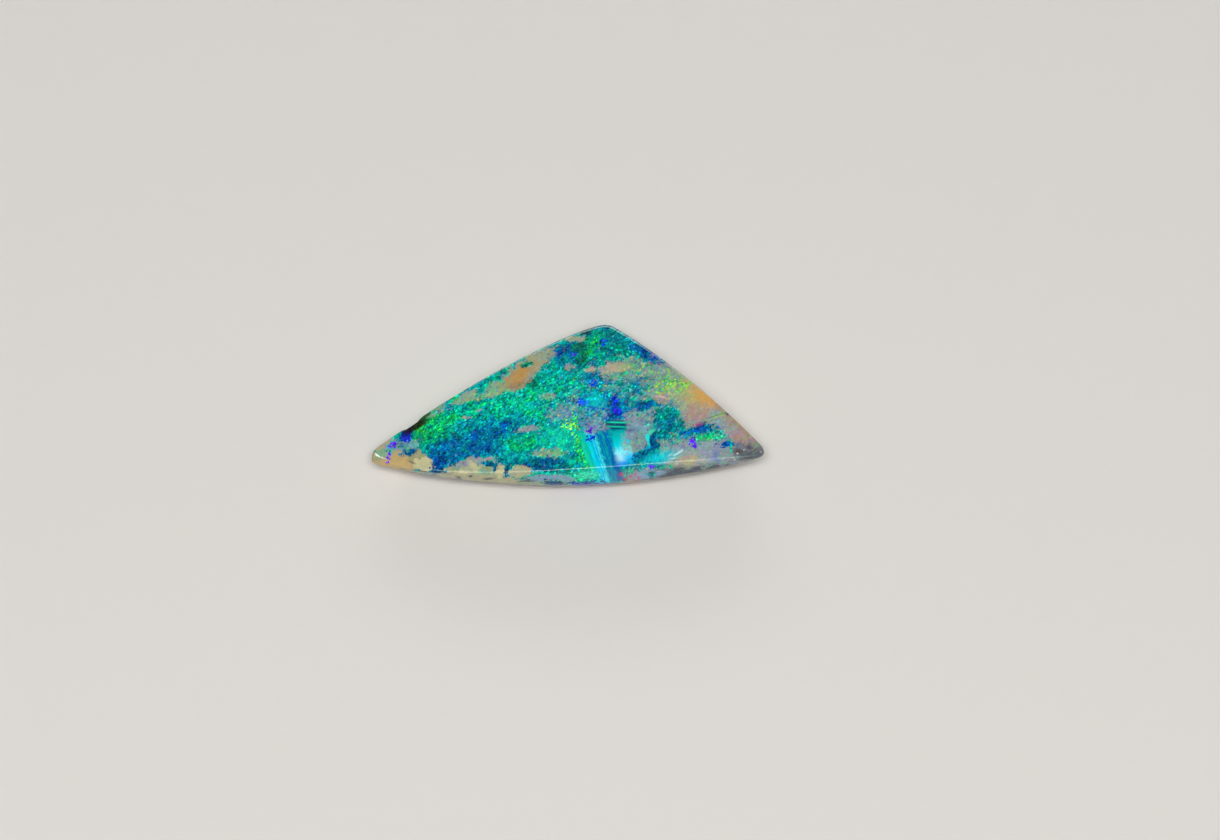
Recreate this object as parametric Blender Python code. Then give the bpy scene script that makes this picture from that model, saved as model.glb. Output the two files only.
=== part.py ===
"""Opalized wood, cut and polished as one low triangular cabochon that lies on its flat back.

Metres, +Z up. +X runs from the left tip to the right tip, +Y towards the apex.
The origin is on the surface that the stone lies on, under the middle of its outline.
"""

import math

import bmesh
import bpy
from mathutils import Vector

MM = 0.001

# Heights in millimetres above the flat back, and the place of the dome's highest point.
CROWN_HEIGHT = 2.8
GIRDLE_HEIGHT = 1.1
CROWN_SPOT = Vector((1.0, -0.5))

# The polished face is a low dome, rounder across the stone than along it.
DOME_RADIUS_ALONG = 75.0
DOME_RADIUS_ACROSS = 18.0

# Each outline has three bowed sides: the front, the right and the left one, anticlockwise.
# A corner is where two sides would meet if it weren't rounded: left tip, right tip, apex.
# A bow is how far a side stands out from the straight line between its corners. Its lean
# says where along the side it is fullest, towards the start near 0 and towards the end near 1.
FACE_CORNERS = (Vector((-10.92, -3.14)), Vector((11.68, -3.54)), Vector((2.46, 5.16)))
FACE_BOWS = (1.61, 0.23, 0.40)
FACE_LEANS = (0.14, 0.60, 0.16)

# The girdle is the stone's widest line, where the bevel of the front stands out furthest.
GIRDLE_CORNERS = (Vector((-11.05, -3.60)), Vector((11.55, -3.13)), Vector((2.46, 5.34)))
GIRDLE_BOWS = (1.62, 0.30, 0.46)
GIRDLE_LEANS = (0.51, 0.60, 0.16)

# How far from each corner its rounding begins.
CORNER_CUTS = (0.60, 1.15, 0.55)

# The flat back is smaller than the girdle and rounder at its corners, so that the lower
# bevel slopes in all round.
BACK_INSET = 0.55
BACK_CORNER_CUTS = (1.70, 1.70, 1.30)

# How far each rounded edge reaches along the two surfaces beside it. An inset is in
# millimetres, and a rise or a fall is a share of the bevel's slope.
BACK_EDGE_INSET = 0.25
BACK_EDGE_RISE = 0.16
GIRDLE_EDGE_FALL = 0.34
GIRDLE_EDGE_RISE = 0.30
FACE_EDGE_FALL = 0.34
FACE_EDGE_INSET = 0.28

# How finely the stone is cut into faces.
SIDE_STEPS = 26
CORNER_STEPS = 6
EDGE_STEPS = 4
DOME_RINGS = 10
INNERMOST_SHARE = 0.10

# The stone's colour where its play of colour is averaged out, and its polish.
OPAL_TEAL = (0.10, 0.42, 0.40, 1.0)
OPAL_ROUGHNESS = 0.12


def clear_scene():
    for obj in list(bpy.data.objects):
        bpy.data.objects.remove(obj, do_unlink=True)


class BowedSide:
    """One side of an outline: a curve from corner to corner, pulled out by one control point."""

    def __init__(self, start, end, bow, lean):
        chord = end - start
        outward = Vector((chord.y, -chord.x)).normalized()
        self.start = start
        self.end = end
        self.control = start + chord * lean + outward * 2 * bow

    def point(self, share):
        near = self.start.lerp(self.control, share)
        far = self.control.lerp(self.end, share)
        return near.lerp(far, share)

    def direction(self, share):
        return (self.control - self.start).lerp(self.end - self.control, share)

    def share_after_start(self, distance):
        return distance / (2 * (self.control - self.start).length)

    def share_before_end(self, distance):
        return 1 - distance / (2 * (self.end - self.control).length)


def meeting_point(point, direction, other_point, other_direction):
    """Where two lines of the plan cross."""
    reach = (other_point - point).cross(other_direction) / direction.cross(other_direction)
    return point + direction * reach


def rounded_corner(side, side_share, following, following_share):
    """Points that turn from one side to the next, from the first side's last point on."""
    leave = side.point(side_share)
    arrive = following.point(following_share)
    turn = meeting_point(
        leave, side.direction(side_share), arrive, following.direction(following_share)
    )
    points = []
    for i in range(CORNER_STEPS):
        s = i / CORNER_STEPS
        points.append(leave.lerp(turn, s).lerp(turn.lerp(arrive, s), s))
    return points


def outline(corners, bows, leans, cuts):
    """A closed line in the plan, anticlockwise from the start of the front side."""
    sides = []
    for i in range(3):
        sides.append(BowedSide(corners[i], corners[(i + 1) % 3], bows[i], leans[i]))
    points = []
    for i in range(3):
        side, following = sides[i], sides[(i + 1) % 3]
        cut_here, cut_next = cuts[i], cuts[(i + 1) % 3]
        first = side.share_after_start(cut_here)
        last = side.share_before_end(cut_next)
        for step in range(SIDE_STEPS):
            points.append(side.point(first + (last - first) * step / SIDE_STEPS))
        points += rounded_corner(side, last, following, following.share_after_start(cut_next))
    return points


def inset(line, distance):
    """A closed line moved inwards along its own normals."""
    moved = []
    for i in range(len(line)):
        along = (line[(i + 1) % len(line)] - line[i - 1]).normalized()
        inward = Vector((-along.y, along.x))
        moved.append(line[i] + inward * distance)
    return moved


def corners_moved_in(corners, distance):
    """The corners that the same three sides have when each side is moved inwards."""
    moved = []
    for i in range(3):
        coming = (corners[i] - corners[i - 1]).normalized()
        going = (corners[(i + 1) % 3] - corners[i]).normalized()
        on_coming = corners[i] + Vector((-coming.y, coming.x)) * distance
        on_going = corners[i] + Vector((-going.y, going.x)) * distance
        moved.append(meeting_point(on_coming, coming, on_going, going))
    return moved


def shrunk(line, share):
    """A closed line drawn in towards the spot under the crown."""
    return [CROWN_SPOT.lerp(p, share) for p in line]


def dome_height(point):
    offset = point - CROWN_SPOT
    fall_along = offset.x**2 / (2 * DOME_RADIUS_ALONG)
    fall_across = offset.y**2 / (2 * DOME_RADIUS_ACROSS)
    return CROWN_HEIGHT - fall_along - fall_across


def on_dome(line):
    return [Vector((p.x, p.y, dome_height(p))) for p in line]


def at_height(line, height):
    return [Vector((p.x, p.y, height)) for p in line]


def between(ring, other, share):
    return [a.lerp(b, share) for a, b in zip(ring, other)]


def rounded_edge(start, corner, end):
    """Rings that turn from one surface to the next, just under the edge where they would meet."""
    rings = []
    for i in range(EDGE_STEPS + 1):
        s = i / EDGE_STEPS
        rings.append(between(between(start, corner, s), between(corner, end, s), s))
    return rings


def stone_rings():
    """Every ring of the stone, from the rim of the flat back up to the innermost of the dome."""
    face_line = outline(FACE_CORNERS, FACE_BOWS, FACE_LEANS, CORNER_CUTS)
    girdle_line = outline(GIRDLE_CORNERS, GIRDLE_BOWS, GIRDLE_LEANS, CORNER_CUTS)
    back_corners = corners_moved_in(GIRDLE_CORNERS, BACK_INSET)
    back_line = outline(back_corners, GIRDLE_BOWS, GIRDLE_LEANS, BACK_CORNER_CUTS)
    dome_line = inset(face_line, FACE_EDGE_INSET)

    face = on_dome(face_line)
    girdle = at_height(girdle_line, GIRDLE_HEIGHT)
    back = at_height(back_line, 0.0)
    back_flat = at_height(inset(back_line, BACK_EDGE_INSET), 0.0)

    rings = rounded_edge(back_flat, back, between(back, girdle, BACK_EDGE_RISE))
    rings += rounded_edge(
        between(girdle, back, GIRDLE_EDGE_FALL), girdle, between(girdle, face, GIRDLE_EDGE_RISE)
    )
    rings += rounded_edge(between(face, girdle, FACE_EDGE_FALL), face, on_dome(dome_line))
    for i in range(1, DOME_RINGS + 1):
        share = 1 + (INNERMOST_SHARE - 1) * i / DOME_RINGS
        rings.append(on_dome(shrunk(dome_line, share)))
    return rings


def middle_of(rings):
    """The spot of the plan that is under the middle of the stone's outline."""
    xs = [p.x for ring in rings for p in ring]
    ys = [p.y for ring in rings for p in ring]
    return Vector(((min(xs) + max(xs)) / 2, (min(ys) + max(ys)) / 2, 0.0))


def build_stone():
    rings = stone_rings()
    middle = middle_of(rings)
    shape = bmesh.new()
    loops = [[shape.verts.new((p - middle) * MM) for p in ring] for ring in rings]
    for lower, upper in zip(loops, loops[1:]):
        for i in range(len(lower)):
            after = (i + 1) % len(lower)
            shape.faces.new((lower[i], lower[after], upper[after], upper[i]))
    shape.faces.new(list(reversed(loops[0])))
    crown = Vector((CROWN_SPOT.x, CROWN_SPOT.y, CROWN_HEIGHT)) - middle
    pole = shape.verts.new(crown * MM)
    innermost = loops[-1]
    for i in range(len(innermost)):
        shape.faces.new((innermost[i], innermost[(i + 1) % len(innermost)], pole))

    mesh = bpy.data.meshes.new("opalized_wood_cabochon")
    shape.to_mesh(mesh)
    shape.free()
    mesh.shade_smooth()
    mesh.set_sharp_from_angle(angle=math.radians(40))
    stone = bpy.data.objects.new("opalized_wood_cabochon", mesh)
    bpy.context.scene.collection.objects.link(stone)
    return stone


def polished_opal():
    material = bpy.data.materials.new("polished_opal")
    material.use_nodes = True
    shader = material.node_tree.nodes["Principled BSDF"]
    shader.inputs["Base Color"].default_value = OPAL_TEAL
    shader.inputs["Roughness"].default_value = OPAL_ROUGHNESS
    shader.inputs["Metallic"].default_value = 0.0
    return material


def main():
    clear_scene()
    stone = build_stone()
    stone.data.materials.append(polished_opal())


main()
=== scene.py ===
# %% [markdown]
# # A cabochon of opalized wood
#
# The real thing is one loose stone: wood whose cells were replaced by precious opal, cut as a
# low rounded triangle and polished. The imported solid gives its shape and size. This notebook
# makes the fine surface and the play of colour. Everything starts from the frame, which is
# loaded first and whose box is kept, so that the finished stone can be compared with it.

# %% Load the frame
import math
from collections import namedtuple

import bmesh
import bpy
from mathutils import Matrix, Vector


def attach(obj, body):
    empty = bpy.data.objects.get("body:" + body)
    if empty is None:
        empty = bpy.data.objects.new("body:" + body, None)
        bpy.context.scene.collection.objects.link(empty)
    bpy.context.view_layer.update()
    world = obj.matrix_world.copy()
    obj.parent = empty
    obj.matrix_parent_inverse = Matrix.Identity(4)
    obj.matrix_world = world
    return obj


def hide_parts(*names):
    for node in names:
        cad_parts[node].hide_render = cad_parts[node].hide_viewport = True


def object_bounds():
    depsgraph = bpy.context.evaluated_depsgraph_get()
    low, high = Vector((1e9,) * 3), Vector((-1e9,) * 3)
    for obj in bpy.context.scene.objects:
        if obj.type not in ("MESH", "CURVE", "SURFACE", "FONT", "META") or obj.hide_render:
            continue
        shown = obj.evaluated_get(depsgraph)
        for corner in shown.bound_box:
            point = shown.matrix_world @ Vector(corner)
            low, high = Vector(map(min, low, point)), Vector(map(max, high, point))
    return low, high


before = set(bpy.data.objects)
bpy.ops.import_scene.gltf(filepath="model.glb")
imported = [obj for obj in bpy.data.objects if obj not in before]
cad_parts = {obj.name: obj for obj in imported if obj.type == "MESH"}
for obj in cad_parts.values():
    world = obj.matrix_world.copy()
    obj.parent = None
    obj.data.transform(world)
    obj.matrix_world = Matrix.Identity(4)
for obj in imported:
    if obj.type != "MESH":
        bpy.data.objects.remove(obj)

cad_low, cad_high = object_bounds()
STONE_NODE = "opalized_wood_cabochon"
MM = 0.001
print("CAD box in mm", [round(side / MM, 2) for side in cad_high - cad_low])

# %% [markdown]
# ## The outline
#
# A lapidary grinds three gently bowed sides and rounds the corners where they meet. One control
# point pulls each side out into its bow, which gives a smooth curve from three numbers: where
# its corners are, how far it stands out, and where it is fullest. The polished face, the girdle
# (the widest line) and the flat back are three such outlines, one above the other.

# %% Bowed sides and rounded corners
FACE_CORNERS = (Vector((-10.92, -3.14)), Vector((11.68, -3.54)), Vector((2.46, 5.16)))
FACE_BOWS = (1.61, 0.23, 0.40)
FACE_LEANS = (0.14, 0.60, 0.16)
GIRDLE_CORNERS = (Vector((-11.05, -3.60)), Vector((11.55, -3.13)), Vector((2.46, 5.34)))
GIRDLE_BOWS = (1.62, 0.30, 0.46)
GIRDLE_LEANS = (0.51, 0.60, 0.16)
CORNER_CUTS = (0.60, 1.15, 0.55)
BACK_INSET = 0.55
BACK_CORNER_CUTS = (1.70, 1.70, 1.30)
SIDE_STEPS = 84
CORNER_STEPS = 20


class BowedSide:
    """One side of an outline, from corner to corner."""

    def __init__(self, start, end, bow, lean):
        chord = end - start
        outward = Vector((chord.y, -chord.x)).normalized()
        self.start = start
        self.end = end
        self.control = start + chord * lean + outward * 2 * bow

    def point(self, share):
        near = self.start.lerp(self.control, share)
        far = self.control.lerp(self.end, share)
        return near.lerp(far, share)

    def direction(self, share):
        return (self.control - self.start).lerp(self.end - self.control, share)

    def share_after_start(self, distance):
        return distance / (2 * (self.control - self.start).length)

    def share_before_end(self, distance):
        return 1 - distance / (2 * (self.end - self.control).length)


def meeting_point(point, direction, other_point, other_direction):
    """Where two lines of the plan cross."""
    reach = (other_point - point).cross(other_direction) / direction.cross(other_direction)
    return point + direction * reach


def rounded_corner(side, side_share, following, following_share):
    """Points that turn from one side to the next."""
    leave = side.point(side_share)
    arrive = following.point(following_share)
    turn = meeting_point(
        leave, side.direction(side_share), arrive, following.direction(following_share)
    )
    shares = [i / CORNER_STEPS for i in range(CORNER_STEPS)]
    return [leave.lerp(turn, s).lerp(turn.lerp(arrive, s), s) for s in shares]


def outline(corners, bows, leans, cuts):
    """A closed line in the plan, anticlockwise from the start of the front side."""
    sides = [BowedSide(corners[i], corners[(i + 1) % 3], bows[i], leans[i]) for i in range(3)]
    points = []
    for i in range(3):
        side, following = sides[i], sides[(i + 1) % 3]
        cut_next = cuts[(i + 1) % 3]
        first = side.share_after_start(cuts[i])
        last = side.share_before_end(cut_next)
        for step in range(SIDE_STEPS):
            points.append(side.point(first + (last - first) * step / SIDE_STEPS))
        points += rounded_corner(side, last, following, following.share_after_start(cut_next))
    return points


def corners_moved_in(corners, distance):
    """The corners that the same three sides have when each side is moved inwards."""
    moved = []
    for i in range(3):
        coming = (corners[i] - corners[i - 1]).normalized()
        going = (corners[(i + 1) % 3] - corners[i]).normalized()
        on_coming = corners[i] + Vector((-coming.y, coming.x)) * distance
        on_going = corners[i] + Vector((-going.y, going.x)) * distance
        moved.append(meeting_point(on_coming, coming, on_going, going))
    return moved


def inset(line, distance):
    """A closed line moved inwards along its own normals."""
    moved = []
    for i in range(len(line)):
        along = (line[(i + 1) % len(line)] - line[i - 1]).normalized()
        moved.append(line[i] + Vector((-along.y, along.x)) * distance)
    return moved


face_line = outline(FACE_CORNERS, FACE_BOWS, FACE_LEANS, CORNER_CUTS)
girdle_line = outline(GIRDLE_CORNERS, GIRDLE_BOWS, GIRDLE_LEANS, CORNER_CUTS)
back_line = outline(
    corners_moved_in(GIRDLE_CORNERS, BACK_INSET), GIRDLE_BOWS, GIRDLE_LEANS, BACK_CORNER_CUTS
)
print("points round each outline:", len(face_line))

# %% [markdown]
# ## The flat blank
#
# The stone is a stack of closed rings joined by quads: up the lower bevel, round the girdle, up
# the upper bevel, over the edge of the face and in to the middle. Each edge between two surfaces
# is a short curve of rings, so that it catches the light as a thin line, the way polish leaves
# it. Here the face is still flat: every ring point carries a number, its lift, that says how
# much of the dome's height it will get in the next step.

# %% Rings of the blank
GIRDLE_HEIGHT = 1.1
CROWN_SPOT = Vector((1.0, -0.5))
BACK_EDGE_INSET = 0.25
BACK_EDGE_RISE = 0.16
GIRDLE_EDGE_FALL = 0.34
GIRDLE_EDGE_RISE = 0.30
FACE_EDGE_FALL = 0.34
FACE_EDGE_INSET = 0.28
FLAT_RIM = 0.15
EDGE_STEPS = 9
BEVEL_STEPS = 4
DOME_RINGS = 44
INNERMOST_SHARE = 0.02


def ring(line, height, lift):
    """Ring points as x, y, height and lift."""
    return [Vector((p.x, p.y, height, lift)) for p in line]


def between(one, other, share):
    return [a.lerp(b, share) for a, b in zip(one, other)]


def rounded_edge(start, corner, end):
    """Rings that turn from one surface to the next, just under the edge between them."""
    shares = [i / EDGE_STEPS for i in range(EDGE_STEPS + 1)]
    return [between(between(start, corner, s), between(corner, end, s), s) for s in shares]


def straight_bevel(start, end):
    """The rings between two rounded edges, without the two that are already there."""
    return [between(start, end, i / BEVEL_STEPS) for i in range(1, BEVEL_STEPS)]


def blank_rings():
    dome_line = inset(face_line, FACE_EDGE_INSET)
    face = ring(face_line, 0.0, 1.0)
    girdle = ring(girdle_line, GIRDLE_HEIGHT, 0.0)
    back = ring(back_line, 0.0, 0.0)
    lower_start = between(back, girdle, BACK_EDGE_RISE)
    lower_end = between(girdle, back, GIRDLE_EDGE_FALL)
    upper_start = between(girdle, face, GIRDLE_EDGE_RISE)
    upper_end = between(face, girdle, FACE_EDGE_FALL)

    rings = [ring(inset(back_line, BACK_EDGE_INSET + FLAT_RIM), 0.0, 0.0)]
    rings += rounded_edge(ring(inset(back_line, BACK_EDGE_INSET), 0.0, 0.0), back, lower_start)
    rings += straight_bevel(lower_start, lower_end)
    rings += rounded_edge(lower_end, girdle, upper_start)
    rings += straight_bevel(upper_start, upper_end)
    rings += rounded_edge(upper_end, face, ring(dome_line, 0.0, 1.0))
    for i in range(1, DOME_RINGS + 1):
        share = 1 + (INNERMOST_SHARE - 1) * i / DOME_RINGS
        rings.append(ring([CROWN_SPOT.lerp(p, share) for p in dome_line], 0.0, 1.0))
    return rings


def blank_mesh(rings):
    """One closed mesh through the rings, centred on the frame's origin, in metres."""
    xs = [p.x for points in rings for p in points]
    ys = [p.y for points in rings for p in points]
    middle = Vector(((min(xs) + max(xs)) / 2, (min(ys) + max(ys)) / 2, 0.0))
    shape = bmesh.new()
    lift = shape.verts.layers.float.new("lift")

    def vertex(point):
        made = shape.verts.new((Vector(point[:3]) - middle) * MM)
        made[lift] = point[3]
        return made

    loops = [[vertex(p) for p in points] for points in rings]
    around = len(loops[0])
    for lower, upper in zip(loops, loops[1:]):
        for i in range(around):
            after = (i + 1) % around
            shape.faces.new((lower[i], lower[after], upper[after], upper[i]))
    shape.faces.new(list(reversed(loops[0])))
    crown = vertex((CROWN_SPOT.x, CROWN_SPOT.y, 0.0, 1.0))
    for i in range(around):
        shape.faces.new((loops[-1][i], loops[-1][(i + 1) % around], crown))
    mesh = bpy.data.meshes.new("blank")
    shape.to_mesh(mesh)
    shape.free()
    return mesh, middle


blank, plan_middle = blank_mesh(blank_rings())
crown_spot = Vector((CROWN_SPOT.x - plan_middle.x, CROWN_SPOT.y - plan_middle.y, 0.0))
print("blank:", len(blank.polygons), "faces; crown over", [round(v, 3) for v in crown_spot[:2]])

# %% [markdown]
# ## Doming, chipping and hand polish
#
# The dome follows a rule: its height falls with the square of the distance from the crown, fast
# across the stone and slowly along it. A rule like that suits Geometry Nodes, where its sizes
# are inputs that can be changed later. The same tree adds what a hand leaves: faint waves in
# the polish, which make reflections swim a little, and the shallow chip in the left side.

# %% A small kit for wiring nodes
ROWS_IN_EDITOR = 8
COLUMN_WIDTH = 200
ROW_HEIGHT = 170


def add(tree, kind, **settings):
    """Adds a node, set up and laid out in columns."""
    node = tree.nodes.new(kind)
    for name, value in settings.items():
        setattr(node, name, value)
    column, row = divmod(len(tree.nodes), ROWS_IN_EDITOR)
    node.location = (column * COLUMN_WIDTH, -row * ROW_HEIGHT)
    return node


def plug(tree, socket, value):
    """Links a socket to another node's output, or gives it a constant."""
    if isinstance(value, bpy.types.NodeSocket):
        tree.links.new(value, socket)
    elif value is not None:
        socket.default_value = value


def calculate(tree, operation, *values, clamp=False):
    node = add(tree, "ShaderNodeMath", operation=operation, use_clamp=clamp)
    for socket, value in zip(node.inputs, values):
        plug(tree, socket, value)
    return node.outputs["Value"]


def vector_math(tree, operation, *values):
    node = add(tree, "ShaderNodeVectorMath", operation=operation)
    for socket, value in zip(node.inputs, values):
        plug(tree, socket, value)
    gives_number = operation in ("LENGTH", "DISTANCE", "DOT_PRODUCT")
    return node.outputs["Value" if gives_number else "Vector"]


def scaled(tree, vector, factor):
    node = add(tree, "ShaderNodeVectorMath", operation="SCALE")
    plug(tree, node.inputs["Vector"], vector)
    plug(tree, node.inputs["Scale"], factor)
    return node.outputs["Vector"]


def soft_step(tree, value, low, high):
    """0 below low, 1 above high, and a smooth rise between them."""
    node = add(tree, "ShaderNodeMapRange", interpolation_type="SMOOTHSTEP")
    for title, given in (("Value", value), ("From Min", low), ("From Max", high)):
        plug(tree, node.inputs[title], given)
    return node.outputs["Result"]


def parts_of(tree, vector):
    node = add(tree, "ShaderNodeSeparateXYZ")
    plug(tree, node.inputs["Vector"], vector)
    return node.outputs["X"], node.outputs["Y"], node.outputs["Z"]


def vector_of(tree, x, y, z):
    node = add(tree, "ShaderNodeCombineXYZ")
    for socket, value in zip(node.inputs, (x, y, z)):
        plug(tree, socket, value)
    return node.outputs["Vector"]


def dome_fall(tree, x, y, spot_x, spot_y, twice_along, twice_across):
    """How far the dome has fallen at x, y from its height at the crown."""
    off_x = calculate(tree, "SUBTRACT", x, spot_x)
    off_y = calculate(tree, "SUBTRACT", y, spot_y)
    along = calculate(tree, "DIVIDE", calculate(tree, "MULTIPLY", off_x, off_x), twice_along)
    across = calculate(tree, "DIVIDE", calculate(tree, "MULTIPLY", off_y, off_y), twice_across)
    return calculate(tree, "ADD", along, across)


# %% The doming tree
CROWN_HEIGHT = 2.8
DOME_RADIUS_ALONG = 75.0
DOME_RADIUS_ACROSS = 18.0
CHIP_SPOT = (-8.75, -1.75, 0.0)
CHIP_REACH = 0.75
CHIP_DEPTH = 0.11
WAVE_LENGTH = 3.2
WAVE_HEIGHT = 0.012
BACK_KEPT_FLAT = 0.6

LENGTH_INPUTS = {
    "Crown Height": CROWN_HEIGHT,
    "Radius Along": DOME_RADIUS_ALONG,
    "Radius Across": DOME_RADIUS_ACROSS,
    "Chip Reach": CHIP_REACH,
    "Chip Depth": CHIP_DEPTH,
    "Wave Length": WAVE_LENGTH,
    "Wave Height": WAVE_HEIGHT,
    "Flat Below": BACK_KEPT_FLAT,
}


def doming_tree():
    tree = bpy.data.node_groups.new("Doming and hand polish", "GeometryNodeTree")
    tree.interface.new_socket("Geometry", in_out="INPUT", socket_type="NodeSocketGeometry")
    for title in LENGTH_INPUTS:
        tree.interface.new_socket(title, in_out="INPUT", socket_type="NodeSocketFloat")
    for title in ("Crown Spot", "Chip Spot"):
        tree.interface.new_socket(title, in_out="INPUT", socket_type="NodeSocketVector")
    tree.interface.new_socket("Finish", in_out="INPUT", socket_type="NodeSocketMaterial")
    tree.interface.new_socket("Geometry", in_out="OUTPUT", socket_type="NodeSocketGeometry")
    given = add(tree, "NodeGroupInput").outputs
    result = add(tree, "NodeGroupOutput")

    def moved(geometry, offset):
        node = add(tree, "GeometryNodeSetPosition")
        plug(tree, node.inputs["Geometry"], geometry)
        plug(tree, node.inputs["Offset"], offset)
        return node.outputs["Geometry"]

    place = add(tree, "GeometryNodeInputPosition").outputs["Position"]
    x, y, z = parts_of(tree, place)
    spot_x, spot_y, _ = parts_of(tree, given["Crown Spot"])
    twice_along = calculate(tree, "MULTIPLY", given["Radius Along"], 2.0)
    twice_across = calculate(tree, "MULTIPLY", given["Radius Across"], 2.0)
    fall = dome_fall(tree, x, y, spot_x, spot_y, twice_along, twice_across)
    height = calculate(tree, "SUBTRACT", given["Crown Height"], fall)
    lift = add(tree, "GeometryNodeInputNamedAttribute", data_type="FLOAT")
    lift.inputs["Name"].default_value = "lift"
    rise = calculate(tree, "MULTIPLY", height, lift.outputs["Attribute"])
    domed = moved(given["Geometry"], vector_of(tree, 0.0, 0.0, rise))

    away = vector_math(tree, "SUBTRACT", place, given["Chip Spot"])
    flat_away = vector_math(tree, "MULTIPLY", away, (1.0, 1.0, 0.0))
    distance = vector_math(tree, "LENGTH", flat_away)
    nearness = calculate(tree, "SUBTRACT", 1.0, calculate(tree, "DIVIDE", distance, given["Chip Reach"]))
    bite = calculate(tree, "MULTIPLY", soft_step(tree, nearness, 0.0, 0.55), given["Chip Depth"])
    inwards = vector_math(tree, "NORMALIZE", vector_math(tree, "MULTIPLY", place, (-1.0, -1.0, 0.0)))
    to_right_and_front = vector_math(tree, "ADD", inwards, (-0.3, -1.0, 0.0))
    chipped = moved(domed, scaled(tree, vector_math(tree, "NORMALIZE", to_right_and_front), bite))

    waves = add(tree, "ShaderNodeTexNoise", noise_dimensions="3D")
    waves.inputs["Detail"].default_value = 1.0
    plug(tree, waves.inputs["Vector"], place)
    plug(tree, waves.inputs["Scale"], calculate(tree, "DIVIDE", 1.0, given["Wave Length"]))
    swell = calculate(tree, "SUBTRACT", waves.outputs[0], 0.5)
    swell = calculate(tree, "MULTIPLY", swell, given["Wave Height"])
    height_now = calculate(tree, "DIVIDE", z, given["Flat Below"])
    swell = calculate(tree, "MULTIPLY", swell, soft_step(tree, height_now, 0.2, 1.0))
    normal = add(tree, "GeometryNodeInputNormal").outputs["Normal"]
    polished = moved(chipped, scaled(tree, normal, swell))

    smooth = add(tree, "GeometryNodeSetShadeSmooth")
    plug(tree, smooth.inputs["Geometry"], polished)
    real = add(tree, "GeometryNodeRealizeInstances")
    plug(tree, real.inputs["Geometry"], smooth.outputs["Geometry"])
    dressed = add(tree, "GeometryNodeSetMaterial")
    plug(tree, dressed.inputs["Geometry"], real.outputs["Geometry"])
    plug(tree, dressed.inputs["Material"], given["Finish"])
    plug(tree, result.inputs["Geometry"], dressed.outputs["Geometry"])
    return tree


opal = bpy.data.materials.new("polished_opalized_wood")


def polished_stone():
    """Runs the tree on the blank and keeps the result as a plain mesh."""
    tree = doming_tree()
    sockets = {item.name: item.identifier for item in tree.interface.items_tree if item.in_out == "INPUT"}
    rough = bpy.data.objects.new("blank", blank)
    bpy.context.scene.collection.objects.link(rough)
    doming = rough.modifiers.new("Doming", "NODES")
    doming.node_group = tree
    for title, size in LENGTH_INPUTS.items():
        doming[sockets[title]] = size * MM
    doming[sockets["Crown Spot"]] = [v * MM for v in crown_spot]
    doming[sockets["Chip Spot"]] = [v * MM for v in CHIP_SPOT]
    doming[sockets["Finish"]] = opal
    settled = bpy.context.evaluated_depsgraph_get()
    mesh = bpy.data.meshes.new_from_object(rough.evaluated_get(settled))
    mesh.name = "polished_stone"
    bpy.data.objects.remove(rough)
    piece = bpy.data.objects.new("polished_stone", mesh)
    bpy.context.scene.collection.objects.link(piece)
    return piece


stone = polished_stone()
stone_sides = [stone.dimensions[i] / MM for i in range(3)]
print("stone in mm", [round(side, 2) for side in stone_sides], "materials", len(stone.data.materials))

# %% [markdown]
# ## Colours
#
# Two things make the colours of this stone. The fire is diffracted light from rows of tiny
# silica spheres: pure colours, from violet through blue and teal to green and lime. The body,
# called potch, is ordinary opal with no fire: cream, ochre, rose and cloudy grey. Colours are
# written as the eye names them on a screen and turned into linear light.

# %% Named colours
def colour(red, green, blue):
    """A screen colour, each part from 0 to 255, as linear light."""
    def linear(part):
        share = part / 255
        return share / 12.92 if share <= 0.04045 else ((share + 0.055) / 1.055) ** 2.4
    return (linear(red), linear(green), linear(blue), 1.0)


CREAM = colour(204, 200, 154)
SAND = colour(190, 184, 142)
OLIVE_SAND = colour(172, 168, 120)
TIP_OCHRE = colour(204, 174, 114)
BEIGE = colour(188, 178, 134)
OCHRE = colour(196, 150, 74)
RUST = colour(184, 120, 66)
ORANGE = colour(228, 168, 72)
AMBER_RIM = colour(196, 144, 92)
PEACH = colour(222, 188, 138)
ROSE = colour(212, 146, 130)
PINK = colour(186, 164, 172)
MAUVE = colour(158, 156, 188)
CLOUD_GREY = colour(152, 176, 220)
PEARL = colour(176, 168, 192)
WARM_GREY = colour(170, 166, 164)
# Partly the right bevel's own lilac grey, partly painted shade that makes the clear bevel look dark.
SHADED_LILAC_GREY = colour(72, 68, 90)
OLIVE = colour(172, 178, 92)
LIME_HAZE = colour(188, 194, 140)
YELLOW_HAZE = colour(204, 198, 118)
PALE_GREEN = colour(158, 190, 126)
SMOKE = colour(96, 86, 102)
HOST_ROCK = colour(30, 14, 10)
BASE_POTCH = colour(128, 116, 106)

# Where each fire colour sits on the scale from 0, violet, to 1, yellow.
FIRE_SCALE = (
    (0.00, colour(110, 25, 245)),
    (0.10, colour(25, 35, 230)),
    (0.24, colour(0, 66, 196)),
    (0.36, colour(0, 100, 172)),
    (0.48, colour(0, 142, 172)),
    (0.60, colour(0, 186, 168)),
    (0.72, colour(0, 204, 122)),
    (0.86, colour(36, 224, 72)),
    (1.00, colour(184, 244, 48)),
)

# Fire that shows only faintly through the potch.
SPARK_SCALE = (
    (0.00, colour(122, 70, 236)),
    (0.18, colour(120, 120, 226)),
    (0.32, colour(212, 128, 160)),
    (0.46, colour(40, 176, 190)),
    (0.64, colour(50, 214, 120)),
    (0.82, colour(150, 236, 66)),
    (1.00, colour(232, 214, 120)),
)

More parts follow.
